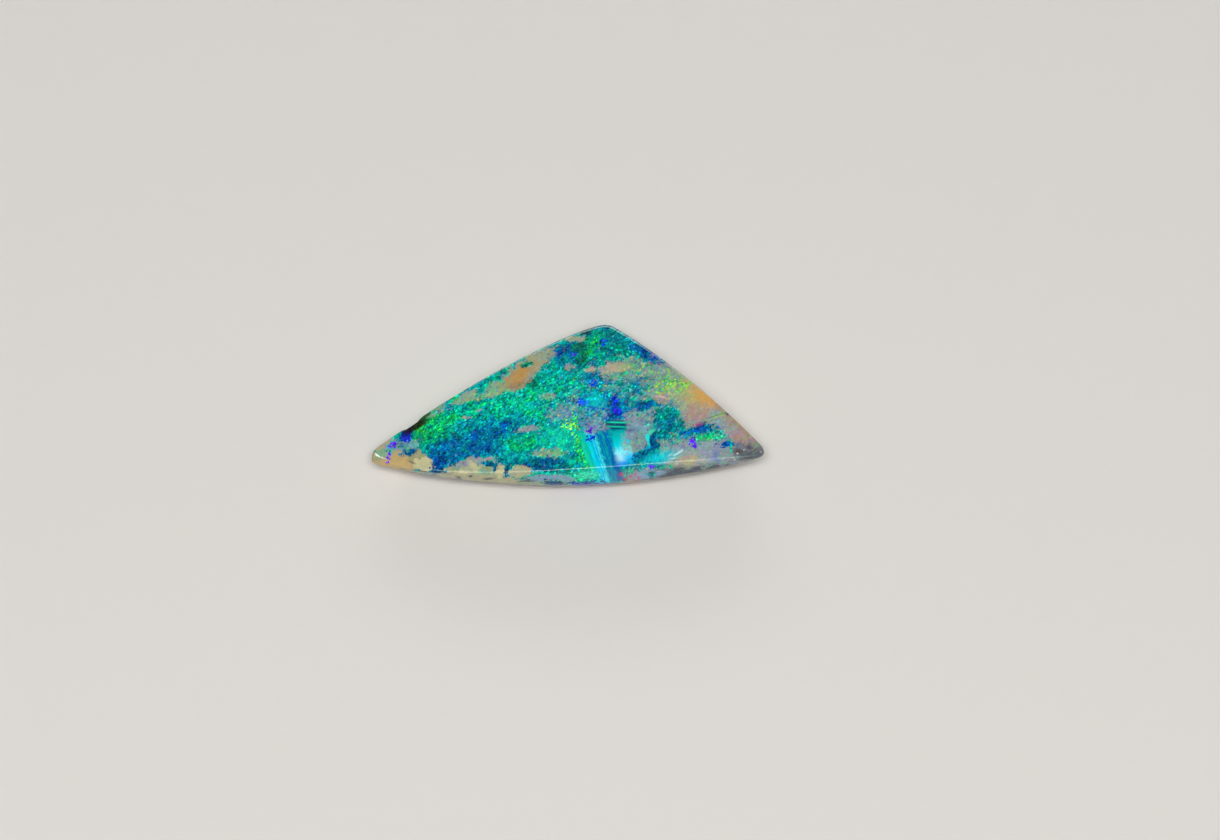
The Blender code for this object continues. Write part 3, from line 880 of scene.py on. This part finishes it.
STROKES = (
    Stroke("host rock wedge", -8.55, -1.85, 0.75, 0.3, 33, 0.4, HOST_ROCK, 0.95),
    Stroke("host rock by the chip", -8.0, -1.3, 0.4, 0.12, 35, 0.6, HOST_ROCK, 0.7),
    Stroke("host rock near the apex", 0.95, 4.2, 0.35, 0.14, 25, 0.7, HOST_ROCK, 0.7),
    Stroke("shadow below the apex", 0.75, 2.3, 0.4, 0.2, 60, 0.9, HOST_ROCK, 0.25),
    Stroke("shadow near the apex", 0.66, 3.15, 0.45, 0.22, 20, 0.9, HOST_ROCK, 0.25),
    Stroke("seam under the cream cell", -8.2, -4.62, 0.5, 0.05, -10, 0.6, SEAM_BLUE, 0.7),
    Stroke("seam beside the cream cell", -7.5, -4.45, 0.06, 0.3, 15, 0.6, SEAM_BLUE, 0.8),
    Stroke("seam left of the cream cell", -8.7, -4.05, 0.25, 0.05, -30, 0.6, SEAM_BLUE, 0.6),
    Stroke("mark by the left tip", -9.2, -4.5, 0.25, 0.06, -14, 0.8, SEAM_BLUE, 0.7),
    Stroke("first mark of the bevel", -8.35, -4.82, 0.3, 0.06, -10, 0.8, SEAM_BLUE, 0.8),
    Stroke("second mark of the bevel", -7.55, -4.85, 0.22, 0.06, -5, 0.8, SEAM_BLUE, 0.8),
    Stroke("third mark of the bevel", -6.1, -5.1, 0.2, 0.07, -5, 0.8, SEAM_BLUE, 0.85),
    Stroke("fourth mark of the bevel", -5.4, -4.98, 0.12, 0.06, 0, 0.8, SEAM_BLUE, 0.8),
    Stroke("fifth mark of the bevel", -4.4, -5.22, 0.3, 0.06, 3, 0.8, SEAM_BLUE, 0.8),
    Stroke("sixth mark of the bevel", -2.3, -5.42, 0.4, 0.06, 0, 0.8, SEAM_BLUE, 0.75),
    Stroke("dark under the lines", 2.75, -2.12, 0.62, 0.34, 0, 0.3, LINE_DARK, 0.85),
    Stroke("tail of the lines", 3.4, -2.42, 0.4, 0.08, 0, 0.7, LINE_DARK, 0.45),
    Stroke("glow of the panel", 2.95, -4.08, 0.22, 0.26, 15, 0.98, WHITE_CYAN, 0.6),
    Stroke("soft glow beside the fibres", -0.45, -2.9, 0.75, 0.7, 0, 0.98, MINT_GLOW, 0.45),
    Stroke("soft glow above the fibres", 1.5, -0.65, 0.5, 0.4, 0, 0.98, BRIGHT_CYAN, 0.4),
    Stroke("azure foot of the panel", 3.05, -4.45, 0.3, 0.16, 0, 0.8, AZURE, 0.7),
    Stroke("glow in the front bevel", 1.1, -5.05, 0.5, 0.2, 0, 0.95, MINT, 0.6),
    Stroke("arrow's upper stroke", 4.68, -2.5, 0.3, 0.11, 38, 0.5, MINT, 0.85),
    Stroke("arrow's bend", 4.42, -2.8, 0.12, 0.18, 10, 0.5, BRIGHT_CYAN, 0.95),
    Stroke("arrow's lower stroke", 4.5, -3.1, 0.06, 0.25, 12, 0.6, BRIGHT_CYAN, 0.8),
    Stroke("white streak", 6.12, -3.74, 0.24, 0.045, 30, 0.8, WHITE_CYAN, 0.85),
    Stroke("second white streak", 5.9, -4.02, 0.18, 0.04, 8, 0.8, WHITE_CYAN, 0.65),
    Stroke("third white streak", 6.35, -3.62, 0.12, 0.04, 55, 0.8, WHITE_CYAN, 0.7),
    Stroke("fourth white streak", 5.72, -3.86, 0.14, 0.035, 40, 0.8, WHITE_CYAN, 0.6),
    Stroke("pink streak", 5.2, -0.28, 0.34, 0.05, -8, 0.6, PALE_PINK, 0.8),
    Stroke("lime beside the crack", 8.55, -1.3, 0.4, 0.06, 28, 0.9, LIME_STRAND, 0.6),
    Stroke("lime in the lime field", 5.64, 1.25, 0.07, 0.2, -20, 0.9, LIME_STRAND, 0.5),
    Stroke("lime below it", 5.75, 0.4, 0.3, 0.07, 30, 0.9, LIME_STRAND, 0.4),
    Stroke("third lime of the field", 6.3, 0.15, 0.25, 0.06, 35, 0.9, LIME_STRAND, 0.4),
    Stroke("violet dot", 7.1, -3.3, 0.11, 0.11, 0, 0.4, VIOLET, 1.0),
    Stroke("violet dot above", 7.02, -3.02, 0.07, 0.07, 0, 0.5, VIOLET, 0.9),
    Stroke("red spark", 3.0, -5.02, 0.07, 0.08, 0, 0.95, RED_FIRE, 0.75),
    Stroke("second red spark", 3.22, -5.3, 0.08, 0.06, 20, 0.95, RED_FIRE, 0.65),
    Stroke("third red spark", 3.52, -5.12, 0.06, 0.1, -15, 0.95, RED_FIRE, 0.75),
    Stroke("fourth red spark", 3.8, -4.98, 0.07, 0.05, 0, 0.95, RED_FIRE, 0.6),
    Stroke("low red spark", 3.75, -5.45, 0.14, 0.06, 10, 0.8, RED_FIRE, 0.6),
    Stroke("sixth red spark", 3.95, -5.22, 0.06, 0.09, 10, 0.95, RED_FIRE, 0.6),
    Stroke("red haze of the sparks", 3.45, -5.15, 0.5, 0.22, 0, 0.98, RED_FIRE, 0.18),
    Stroke("magenta under the rose", 7.2, -2.0, 0.4, 0.1, 12, 0.8, RED_FIRE, 0.35),
    Stroke("brown speck of the tip", 9.6, -3.45, 0.25, 0.12, 10, 0.7, BROWN_SPECK, 0.6),
    Stroke("second brown speck", 10.1, -3.2, 0.15, 0.08, 0, 0.7, BROWN_SPECK, 0.5),
    Stroke("dark haze in the tip", 10.2, -3.8, 0.4, 0.2, 0, 0.8, SEAM_GREY, 0.6),
    Stroke("blue smear near the tip", 8.3, -3.8, 0.16, 0.34, 8, 0.98, DEEP_BLUE, 0.5),
    Stroke("bubble", 9.5, -3.6, 0.05, 0.05, 0, 0.6, BUBBLE, 0.9),
    Stroke("second bubble", 9.85, -3.35, 0.04, 0.04, 0, 0.6, BUBBLE, 0.8),
    Stroke("third bubble", 9.3, -3.95, 0.05, 0.04, 0, 0.6, BUBBLE, 0.8),
    Stroke("fourth bubble", 6.1, -4.35, 0.06, 0.05, 0, 0.6, BUBBLE, 0.7),
)

# Straight things: the two bright lines over the panel, and the crack in the right side.
STRAIGHT_STROKES = (
    Stroke("upper bright line", 2.78, -1.97, 0.52, 0.05, 0, 0.5, LINE_GREEN, 0.95),
    Stroke("lower bright line", 2.72, -2.24, 0.5, 0.045, -1, 0.5, LINE_GREEN, 0.75),
    Stroke("crack", 8.45, -1.3, 0.82, 0.022, 22, 0.6, SEAM_GREY, 0.75),
)
print("strokes:", len(STROKES) + len(STRAIGHT_STROKES))

# %% [markdown]
# ## The material
#
# The pattern is worked out in millimetres. Seams of colour run down through the stone at a
# slant, so the bevel shows the pattern carrying on from the face: a point's place is moved
# towards the front by a share of its depth under the dome. Noise bends that place, which tears
# the rims of all the areas into the feathered edges of real potch.

# %% Pattern coordinates
MM_PER_METRE = 1000.0
SEAM_SLANT = 0.51


def noise(tree, point, size, detail=2.0, roughness=0.5, output=0):
    """Noise whose features are about size wide, in the point's own units."""
    node = add(tree, "ShaderNodeTexNoise", noise_dimensions="3D")
    plug(tree, node.inputs["Vector"], point)
    plug(tree, node.inputs["Scale"], 1.0 / size)
    plug(tree, node.inputs["Detail"], detail)
    plug(tree, node.inputs["Roughness"], roughness)
    return node.outputs[output]


def centred(tree, value, reach):
    """Spreads a value from 0 to 1 evenly round nought, half of reach to each side."""
    return calculate(tree, "MULTIPLY", calculate(tree, "SUBTRACT", value, 0.5), reach)


def plus(tree, *values):
    total = values[0]
    for value in values[1:]:
        total = calculate(tree, "ADD", total, value)
    return total


def blend_values(tree, share, one, other):
    node = add(tree, "ShaderNodeMix", data_type="FLOAT")
    plug(tree, node.inputs[0], share)
    plug(tree, node.inputs[2], one)
    plug(tree, node.inputs[3], other)
    return node.outputs[0]


def blend_colours(tree, share, one, other, mode="MIX"):
    node = add(tree, "ShaderNodeMix", data_type="RGBA", blend_type=mode)
    plug(tree, node.inputs[0], share)
    plug(tree, node.inputs[6], one)
    plug(tree, node.inputs[7], other)
    return node.outputs[2]


def dimmed(tree, tint, brightness):
    return blend_colours(tree, 1.0, tint, vector_of(tree, brightness, brightness, brightness), "MULTIPLY")


def colour_scale(tree, scale, position):
    node = add(tree, "ShaderNodeValToRGB")
    stops = node.color_ramp.elements
    while len(stops) < len(scale):
        stops.new(0.5)
    for stop, (place, tint) in zip(stops, scale):
        stop.position = place
        stop.color = tint
    plug(tree, node.inputs["Fac"], position)
    return node.outputs["Color"]


def pattern_point(tree):
    """The surface point in millimetres, its place on the slanted seams, and its depth."""
    here = add(tree, "ShaderNodeTexCoord").outputs["Object"]
    x, y, z = parts_of(tree, scaled(tree, here, MM_PER_METRE))
    fall = dome_fall(
        tree, x, y, crown_spot.x, crown_spot.y, 2 * DOME_RADIUS_ALONG, 2 * DOME_RADIUS_ACROSS
    )
    depth = calculate(tree, "SUBTRACT", calculate(tree, "SUBTRACT", CROWN_HEIGHT, fall), z)
    slid = calculate(tree, "SUBTRACT", y, calculate(tree, "MULTIPLY", depth, SEAM_SLANT))
    return vector_of(tree, x, slid, depth), vector_of(tree, x, slid, 0.0), depth


# %% Laying areas and strokes
def shape_mask(tree, group, item, point, rag):
    cosine, sine = math.cos(math.radians(item.turn)), math.sin(math.radians(item.turn))
    return place_group(
        tree,
        group,
        Point=point,
        Rag=rag,
        Centre=(item.x, item.y, 0.0),
        Long_Axis=(cosine / item.long, sine / item.long, 0.0),
        Wide_Axis=(-sine / item.wide, cosine / item.wide, 0.0),
        Feather=item.feather,
    )["Mask"]


def lay_areas(tree, areas, point, rag, state):
    """Mixes each area's values over what lies below it."""
    for item in areas:
        mask = shape_mask(tree, patches, item, point, rag)
        for channel in ("veil", "hue", "glow", "lively", "tinge"):
            value = getattr(item, channel)
            if value is not None:
                state[channel] = blend_values(tree, mask, state[channel], value)
        if item.body is not None:
            state["body"] = blend_colours(tree, mask, state["body"], item.body)


def lay_strokes(tree, group, strokes, point, rag, base):
    for item in strokes:
        mask = shape_mask(tree, group, item, point, rag)
        base = blend_colours(tree, calculate(tree, "MULTIPLY", mask, item.strength), base, item.tint)
    return base


# %% [markdown]
# The wood's own grain shows best at the front of the middle: a leaning bundle of fibres, each a
# thin stripe of its own colour, and beside it a clear panel with crisp edges. Both are part of
# the fire, so the potch can still lie over them.

# %% Fibres, panel and rolling flash
FIBRE_LEAN = math.radians(18)
FIBRES = Stroke("fibres", 1.83, -4.05, 0.86, 1.75, 17, 0.22, None, 1.0)
PANEL = Stroke("panel", 3.0, -3.4, 0.56, 1.1, 15, 0.1, None, 1.0)
ROLLING_FLASH = Stroke("rolling flash", 5.2, -4.0, 0.9, 0.3, 14, 0.8, BRIGHT_CYAN, 0.9)


def within(tree, item, point):
    """Where a point lies across and along a straight-sided item, each from 0 to 1."""
    size = (2 * item.long, 2 * item.wide, 1.0)
    local = local_to(tree, point, (item.x, item.y, 0.0), (0.0, 0.0, math.radians(item.turn)), size)
    across, along, _ = parts_of(tree, local)
    return calculate(tree, "ADD", across, 0.5), calculate(tree, "ADD", along, 0.5)


def lay_wood_grain(tree, point, rag, fire, state):
    thread = place_group(
        tree, hairs, Point=point, Turn=(0.0, 0.0, FIBRE_LEAN), Thickness=(0.07, 1.6, 1.0)
    )["Thread"]
    across, _ = within(tree, FIBRES, point)
    broken = centred(tree, noise(tree, point, 0.3, 4.0, 0.6), 0.36)
    stripes = colour_scale(tree, FIBRE_SCALE, plus(tree, across, broken, centred(tree, thread, 0.08)))
    stripes = dimmed(tree, stripes, plus(tree, 0.72, calculate(tree, "MULTIPLY", thread, 0.4)))
    _, up = within(tree, PANEL, point)
    pane = colour_scale(tree, PANEL_SCALE, plus(tree, up, centred(tree, thread, 0.08)))
    for item, tint, raggedness in ((PANEL, pane, 0.15), (FIBRES, stripes, 0.5)):
        mask = shape_mask(tree, slabs, item, point, calculate(tree, "MULTIPLY", rag, raggedness))
        fire = blend_colours(tree, mask, fire, tint)
        state["veil"] = blend_values(tree, mask, state["veil"], 0.0)
        state["glow"] = blend_values(tree, mask, state["glow"], 1.2)
    return fire


def lay_rolling_flash(tree, point, rag, base):
    strand = place_group(tree, hairs, Point=point, Turn=(0.0, 0.0, -0.15), Thickness=(0.09, 0.32, 1.0))
    mask = shape_mask(tree, patches, ROLLING_FLASH, point, rag)
    flash = blend_colours(tree, strand["Thread"], FLASH_DEPTH, ROLLING_FLASH.tint)
    return blend_colours(tree, calculate(tree, "MULTIPLY", mask, ROLLING_FLASH.strength), base, flash)


# %% [markdown]
# Everything now goes together. Grains a tenth of a millimetre wide pick their own shade of the
# local fire, and whole grains show through the veil at its rims, which makes the edges sparkle
# instead of fading. The potch gets drifting tints and faint sparks. The light that the fire
# sends back is more than a painted surface would, so a little of it is also given off.

# %% The whole finish
TEAR_SIZE = 1.0
TEAR_REACH = 0.95
RAG_SIZE = 0.4
RAG_REACH = 1.5
GRAIN_SIZE = 0.075
CLUMP_SIZE = 0.22
SPARK_SIZE = 0.085
GRAIN_TURN = math.radians(50)
GRAIN_STRETCH = 1.6
POLISH_ROUGHNESS = 0.07
BACK_ROUGHNESS = 0.35
OPAL_IOR = 1.45
OWN_LIGHT = 0.12
CLEARNESS = 0.4
GAP_SIZE = 0.3
FLECK_SIZE = 0.1
PINHOLE_SIZE = 0.2
DOT_SCATTER = 3.4


def finish_opal():
    opal.use_nodes = True
    tree = opal.node_tree
    tree.nodes.clear()
    point, flat, depth = pattern_point(tree)

    tear = noise(tree, point, TEAR_SIZE, 5.0, 0.7, output=1)
    tear = vector_math(tree, "SUBTRACT", tear, (0.5, 0.5, 0.5))
    tear = vector_math(tree, "MULTIPLY", tear, (TEAR_REACH, TEAR_REACH, 0.0))
    torn = vector_math(tree, "ADD", flat, tear)
    slightly_torn = vector_math(tree, "ADD", flat, scaled(tree, tear, 0.3))
    barely_torn = vector_math(tree, "ADD", flat, scaled(tree, tear, 0.08))
    rag = centred(tree, noise(tree, point, RAG_SIZE, 3.0, 0.6), RAG_REACH)
    slight_rag = calculate(tree, "MULTIPLY", rag, 0.6)

    grain_point = local_to(
        tree, point, (0.0, 0.0, 0.0), (0.0, 0.0, GRAIN_TURN), (GRAIN_STRETCH, 1.0, 1.0)
    )
    fine = place_group(tree, grains, Point=grain_point, Size=GRAIN_SIZE)
    clump = place_group(tree, grains, Point=grain_point, Size=CLUMP_SIZE)
    spark = place_group(tree, grains, Point=grain_point, Size=SPARK_SIZE)
    drift = noise(tree, point, 0.55, 3.0, 0.6)
    fleck = noise(tree, point, FLECK_SIZE, 2.0, 0.6)
    gaps = noise(tree, grain_point, GAP_SIZE, 4.0, 0.7)

    state = {"veil": 0.1, "hue": 0.58, "glow": 0.95, "body": WARM_GREY, "lively": 0.5, "tinge": 0.0}
    lay_areas(tree, FIRE_AREAS + BODY_AREAS, torn, rag, state)

    hue = plus(
        tree,
        state["hue"],
        centred(tree, fine["Pick A"], 0.18),
        centred(tree, clump["Pick A"], 0.14),
        centred(tree, drift, 0.4),
        centred(tree, fleck, 0.3),
    )
    fire = colour_scale(tree, FIRE_SCALE, hue)
    glint = soft_step(tree, fine["Pick C"], 0.86, 0.97)
    shine = plus(tree, 0.38, calculate(tree, "MULTIPLY", fine["Pick B"], 0.95), glint, centred(tree, fleck, 0.6))
    open_fire = plus(tree, 0.5, calculate(tree, "MULTIPLY", soft_step(tree, gaps, 0.36, 0.56), 0.62))
    shine = calculate(tree, "MULTIPLY", shine, open_fire)
    fire = dimmed(tree, fire, shine)
    fire = lay_wood_grain(tree, barely_torn, rag, fire, state)
    before_spots = dict(state)
    grainy_rag = plus(tree, slight_rag, centred(tree, fine["Pick C"], 0.9), centred(tree, clump["Pick B"], 0.7))
    lay_areas(tree, OVER_CLOUDS, slightly_torn, slight_rag, state)
    lay_areas(tree, SPOTS, slightly_torn, grainy_rag, state)
    scatter = plus(tree, centred(tree, spark["Pick C"], DOT_SCATTER), centred(tree, clump["Pick B"], 1.4))
    lay_areas(tree, DOTS, barely_torn, scatter, state)
    spot_hue = plus(tree, state["hue"], centred(tree, fine["Pick A"], 0.14))
    spot_fire = dimmed(tree, colour_scale(tree, FIRE_SCALE, spot_hue), shine)
    moved = calculate(tree, "ABSOLUTE", calculate(tree, "SUBTRACT", state["hue"], before_spots["hue"]))
    fire = blend_colours(tree, soft_step(tree, moved, 0.01, 0.06), fire, spot_fire)
    fire = dimmed(tree, fire, state["glow"])

    clouds = colour_scale(tree, CLOUD_SCALE, noise(tree, torn, 0.45, 5.0, 0.65))
    body = blend_colours(
        tree, calculate(tree, "MULTIPLY", state["lively"], 0.5, clamp=True), state["body"], clouds
    )
    mottle = plus(tree, 0.74, calculate(tree, "MULTIPLY", noise(tree, grain_point, 0.26, 4.0, 0.65), 0.54))
    body = dimmed(tree, body, mottle)
    shine_through = calculate(tree, "MULTIPLY", state["lively"], CLEARNESS, clamp=True)
    body = blend_colours(tree, shine_through, body, fire)
    spark_hue = calculate(tree, "ADD", spark["Pick A"], state["tinge"])
    sparkle = calculate(tree, "MULTIPLY", soft_step(tree, spark["Pick B"], 0.5, 1.0), state["lively"])
    sparkle = calculate(tree, "MULTIPLY", sparkle, 0.9, clamp=True)
    body = blend_colours(tree, sparkle, body, colour_scale(tree, SPARK_SCALE, spark_hue))
    base_share = soft_step(tree, depth, 1.1, 1.9)
    body = blend_colours(
        tree, calculate(tree, "MULTIPLY", base_share, 0.75), body, dimmed(tree, BASE_POTCH, mottle)
    )

    pinholes = soft_step(tree, noise(tree, point, PINHOLE_SIZE, 2.0), 0.63, 0.70)
    veil = plus(
        tree,
        state["veil"],
        centred(tree, fine["Pick C"], 0.25),
        centred(tree, noise(tree, torn, 0.24, 3.0, 0.6), 1.1),
        centred(tree, drift, -0.8),
        calculate(tree, "MULTIPLY", base_share, 0.5),
        calculate(tree, "MULTIPLY", pinholes, -0.5),
    )
    cover = soft_step(tree, veil, 0.28, 0.82)
    base = blend_colours(tree, cover, fire, body)
    base = lay_rolling_flash(tree, slightly_torn, slight_rag, base)
    base = lay_strokes(tree, patches, STROKES, slightly_torn, slight_rag, base)
    base = lay_strokes(tree, slabs, STRAIGHT_STROKES, barely_torn, 0.0, base)

    shader = add(tree, "ShaderNodeBsdfPrincipled")
    plug(tree, shader.inputs["Base Color"], base)
    rough = blend_values(tree, soft_step(tree, depth, 2.0, 2.3), POLISH_ROUGHNESS, BACK_ROUGHNESS)
    plug(tree, shader.inputs["Roughness"], rough)
    shader.inputs["IOR"].default_value = OPAL_IOR
    own_light = dimmed(tree, base, calculate(tree, "SUBTRACT", 1.0, cover))
    plug(tree, shader.inputs["Emission Color"], own_light)
    shader.inputs["Emission Strength"].default_value = OWN_LIGHT
    surface = add(tree, "ShaderNodeOutputMaterial")
    plug(tree, surface.inputs["Surface"], shader.outputs["BSDF"])
    print("nodes in the finish:", len(tree.nodes))


finish_opal()

# %% [markdown]
# ## Floor, light and camera
#
# The stone lies on a plain pale floor. A polished face shows whatever is in its mirror
# direction, so the big soft light hangs above and a little in front and is never mirrored; a
# narrow strip further in front is only mirrored, by the rounded front edge, as a thin line. Two
# small boxes at the sides are only mirrored too, near the tips. A weak low light behind draws
# the rim of the far sides.

# %% The floor
FLOOR_SIZE = 3.0
FLOOR_DROP = 0.00002
FLOOR_GREY = colour(228, 225, 220)


def make_floor():
    mesh = bpy.data.meshes.new("floor")
    half = FLOOR_SIZE / 2
    corners = [(-half, -half), (half, -half), (half, half), (-half, half)]
    mesh.from_pydata([(x, y, -FLOOR_DROP) for x, y in corners], [], [(0, 1, 2, 3)])
    floor = bpy.data.objects.new("floor", mesh)
    bpy.context.scene.collection.objects.link(floor)
    paper = bpy.data.materials.new("pale_paper")
    paper.use_nodes = True
    shader = paper.node_tree.nodes["Principled BSDF"]
    shader.inputs["Base Color"].default_value = FLOOR_GREY
    shader.inputs["Roughness"].default_value = 0.9
    mesh.materials.append(paper)
    return floor


floor = make_floor()

# %% Soft light
WATTS_FOR_WHITE = 9.87
RIM_FADE = 0.3


def soften_rim(light):
    """Fades a softbox to nothing at its rim, so that its reflection has no hard edge."""
    light.use_nodes = True
    tree = light.node_tree
    tree.nodes.clear()
    place = add(tree, "ShaderNodeNewGeometry").outputs["Parametric"]
    fades = []
    for way in parts_of(tree, place)[:2]:
        from_middle = calculate(tree, "ABSOLUTE", calculate(tree, "SUBTRACT", way, 0.5))
        fades.append(soft_step(tree, calculate(tree, "SUBTRACT", 0.5, from_middle), 0.0, RIM_FADE))
    lamp = add(tree, "ShaderNodeEmission")
    strength = calculate(tree, "MULTIPLY", fades[0], fades[1])
    plug(tree, lamp.inputs["Strength"], calculate(tree, "DIVIDE", strength, (1 - RIM_FADE) ** 2))
    plug(tree, add(tree, "ShaderNodeOutputLight").inputs["Surface"], lamp.outputs["Emission"])


def softbox(name, tilt, turn, distance, size, brightness, mirrored=True, lights_body=True):
    """An area light aimed at the stone; tilt is from overhead and turn from the front."""
    light = bpy.data.lights.new(name, "AREA")
    light.shape = "RECTANGLE"
    light.size, light.size_y = size
    light.energy = WATTS_FOR_WHITE * distance**2 * brightness
    soften_rim(light)
    box = bpy.data.objects.new(name, light)
    lean, swing = math.radians(tilt), math.radians(turn)
    towards = Vector((math.sin(swing) * math.sin(lean), -math.cos(swing) * math.sin(lean), math.cos(lean)))
    box.location = towards * distance
    box.rotation_euler = towards.to_track_quat("Z", "Y").to_euler()
    box.visible_camera = False
    box.visible_glossy = mirrored
    box.visible_diffuse = lights_body
    bpy.context.scene.collection.objects.link(box)
    return box


softbox("key", 24, 0, 0.45, (0.40, 0.30), 0.86, mirrored=False)
softbox("crest strip", 39, 0, 0.45, (0.62, 0.10), 0.54, lights_body=False)
softbox("rim", 76, 180, 0.5, (0.6, 0.1), 0.34)
softbox("left glint", 42, -77, 0.5, (0.20, 0.24), 0.6, lights_body=False)
softbox("right glint", 38, 104, 0.5, (0.16, 0.26), 0.5, lights_body=False)

world = bpy.data.worlds.new("studio")
world.use_nodes = True
bpy.context.scene.world = world
room = world.node_tree
for node in list(room.nodes):
    room.nodes.remove(node)
seen = add(room, "ShaderNodeBackground")
seen.inputs["Color"].default_value = FLOOR_GREY
lighting = add(room, "ShaderNodeBackground")
lighting.inputs["Color"].default_value = FLOOR_GREY
lighting.inputs["Strength"].default_value = 0.12
chosen = add(room, "ShaderNodeMixShader")
plug(room, chosen.inputs[0], add(room, "ShaderNodeLightPath").outputs["Is Camera Ray"])
plug(room, chosen.inputs[1], lighting.outputs["Background"])
plug(room, chosen.inputs[2], seen.outputs["Background"])
plug(room, add(room, "ShaderNodeOutputWorld").inputs["Surface"], chosen.outputs["Shader"])
bpy.context.scene.view_settings.view_transform = "Standard"

# %% The camera
PHOTO_WIDTH = 1220
PHOTO_HEIGHT = 840
STONE_LEFT, STONE_RIGHT = 373, 763
STONE_TOP, STONE_BOTTOM = 323, 487
CAMERA_ELEVATION = math.radians(60)
LENS = 150.0
SENSOR = 36.0


def make_camera():
    camera = bpy.data.cameras.new("camera")
    camera.lens = LENS
    camera.sensor_width = SENSOR
    camera.clip_start = 0.01
    holder = bpy.data.objects.new("camera", camera)
    bpy.context.scene.collection.objects.link(holder)
    towards_camera = Vector((0, -math.cos(CAMERA_ELEVATION), math.sin(CAMERA_ELEVATION)))
    up = Vector((0, math.sin(CAMERA_ELEVATION), math.cos(CAMERA_ELEVATION)))
    right = Vector((1, 0, 0))
    points = [v.co for v in stone.data.vertices]
    heights = [p.dot(up) for p in points]
    widths = [p.dot(right) for p in points]
    pixel = (max(widths) - min(widths)) / (STONE_RIGHT - STONE_LEFT)
    distance = pixel * PHOTO_WIDTH * LENS / SENSOR
    seen_x = (max(widths) + min(widths)) / 2
    seen_y = (max(heights) + min(heights)) / 2
    near = Vector((0, 0, cad_high.z / 2)).dot(towards_camera)
    middle = right * seen_x + up * seen_y + towards_camera * near
    off_x = (STONE_LEFT + STONE_RIGHT - PHOTO_WIDTH) / 2 * pixel
    off_y = (PHOTO_HEIGHT - STONE_TOP - STONE_BOTTOM) / 2 * pixel
    holder.location = middle - right * off_x - up * off_y + towards_camera * distance
    holder.rotation_euler = towards_camera.to_track_quat("Z", "Y").to_euler()
    bpy.context.scene.camera = holder
    print("camera distance in m", round(distance, 3))


make_camera()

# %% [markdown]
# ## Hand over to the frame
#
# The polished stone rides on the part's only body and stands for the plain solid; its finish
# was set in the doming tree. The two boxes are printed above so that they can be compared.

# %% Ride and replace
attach(stone, "root")
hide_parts(STONE_NODE)
